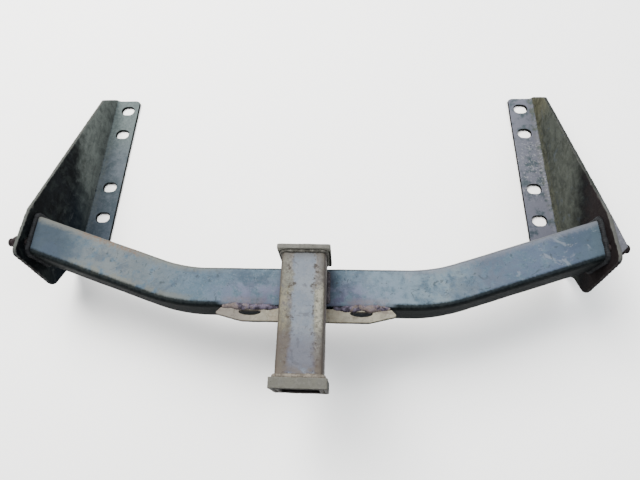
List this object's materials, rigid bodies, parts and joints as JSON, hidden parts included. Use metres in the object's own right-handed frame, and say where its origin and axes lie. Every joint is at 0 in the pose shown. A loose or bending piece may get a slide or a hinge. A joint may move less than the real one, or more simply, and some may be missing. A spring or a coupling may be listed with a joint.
{
  "type": "trailer receiver hitch",
  "caption": "Rear receiver hitch: bent square cross tube between two bolt-on side brackets, with a welded square receiver socket and a slotted safety chain plate.",
  "frame": {"origin": "middle of the whole part in X and Y, at the undersides of the two bolt flanges it stands on", "axes": "+X along the cross tube, across the vehicle; +Y from the receiver mouth towards the front of the vehicle; +Z away from the flanges, which points down on the vehicle because the part is stored standing on its flanges"},
  "size_m": [0.959, 0.62, 0.2187],
  "materials": {
    "tube_paint": "weathered slate paint, chalky, with dirt and rust along the edges",
    "receiver_paint": "weathered light grey paint with scaly brown rust along the corners",
    "collar_steel": "rough steel under worn warm grey paint",
    "chain_plate_steel": "dusty pale beige over rough steel",
    "bracket_paint": "faded dark paint with mottled dirt and worn edges",
    "gusset_paint": "weathered grey paint",
    "weld_bead": "rippled weld metal, rusty brown",
    "fastener_steel": "dark oxidised, dull"
  },
  "bodies": {
    "root": {"cross_tube": "tube_paint", "receiver_tube": "receiver_paint", "receiver_front_collar": "collar_steel", "receiver_mouth_collar": "collar_steel", "safety_chain_plate": "chain_plate_steel", "front_collar_weld": "weld_bead", "mouth_collar_weld": "weld_bead", "right_bracket": "bracket_paint", "left_bracket": "bracket_paint", "right_tube_end_weld": "weld_bead", "left_tube_end_weld": "weld_bead", "right_receiver_weld": "weld_bead", "left_receiver_weld": "weld_bead", "right_chain_plate_weld": "weld_bead", "left_chain_plate_weld": "weld_bead", "right_gusset": "gusset_paint", "right_gusset_weld": "weld_bead", "right_washer": "fastener_steel", "left_washer": "fastener_steel", "right_nut": "fastener_steel", "left_nut": "fastener_steel", "right_stud": "fastener_steel", "left_stud": "fastener_steel"}
  },
  "joints": []
}
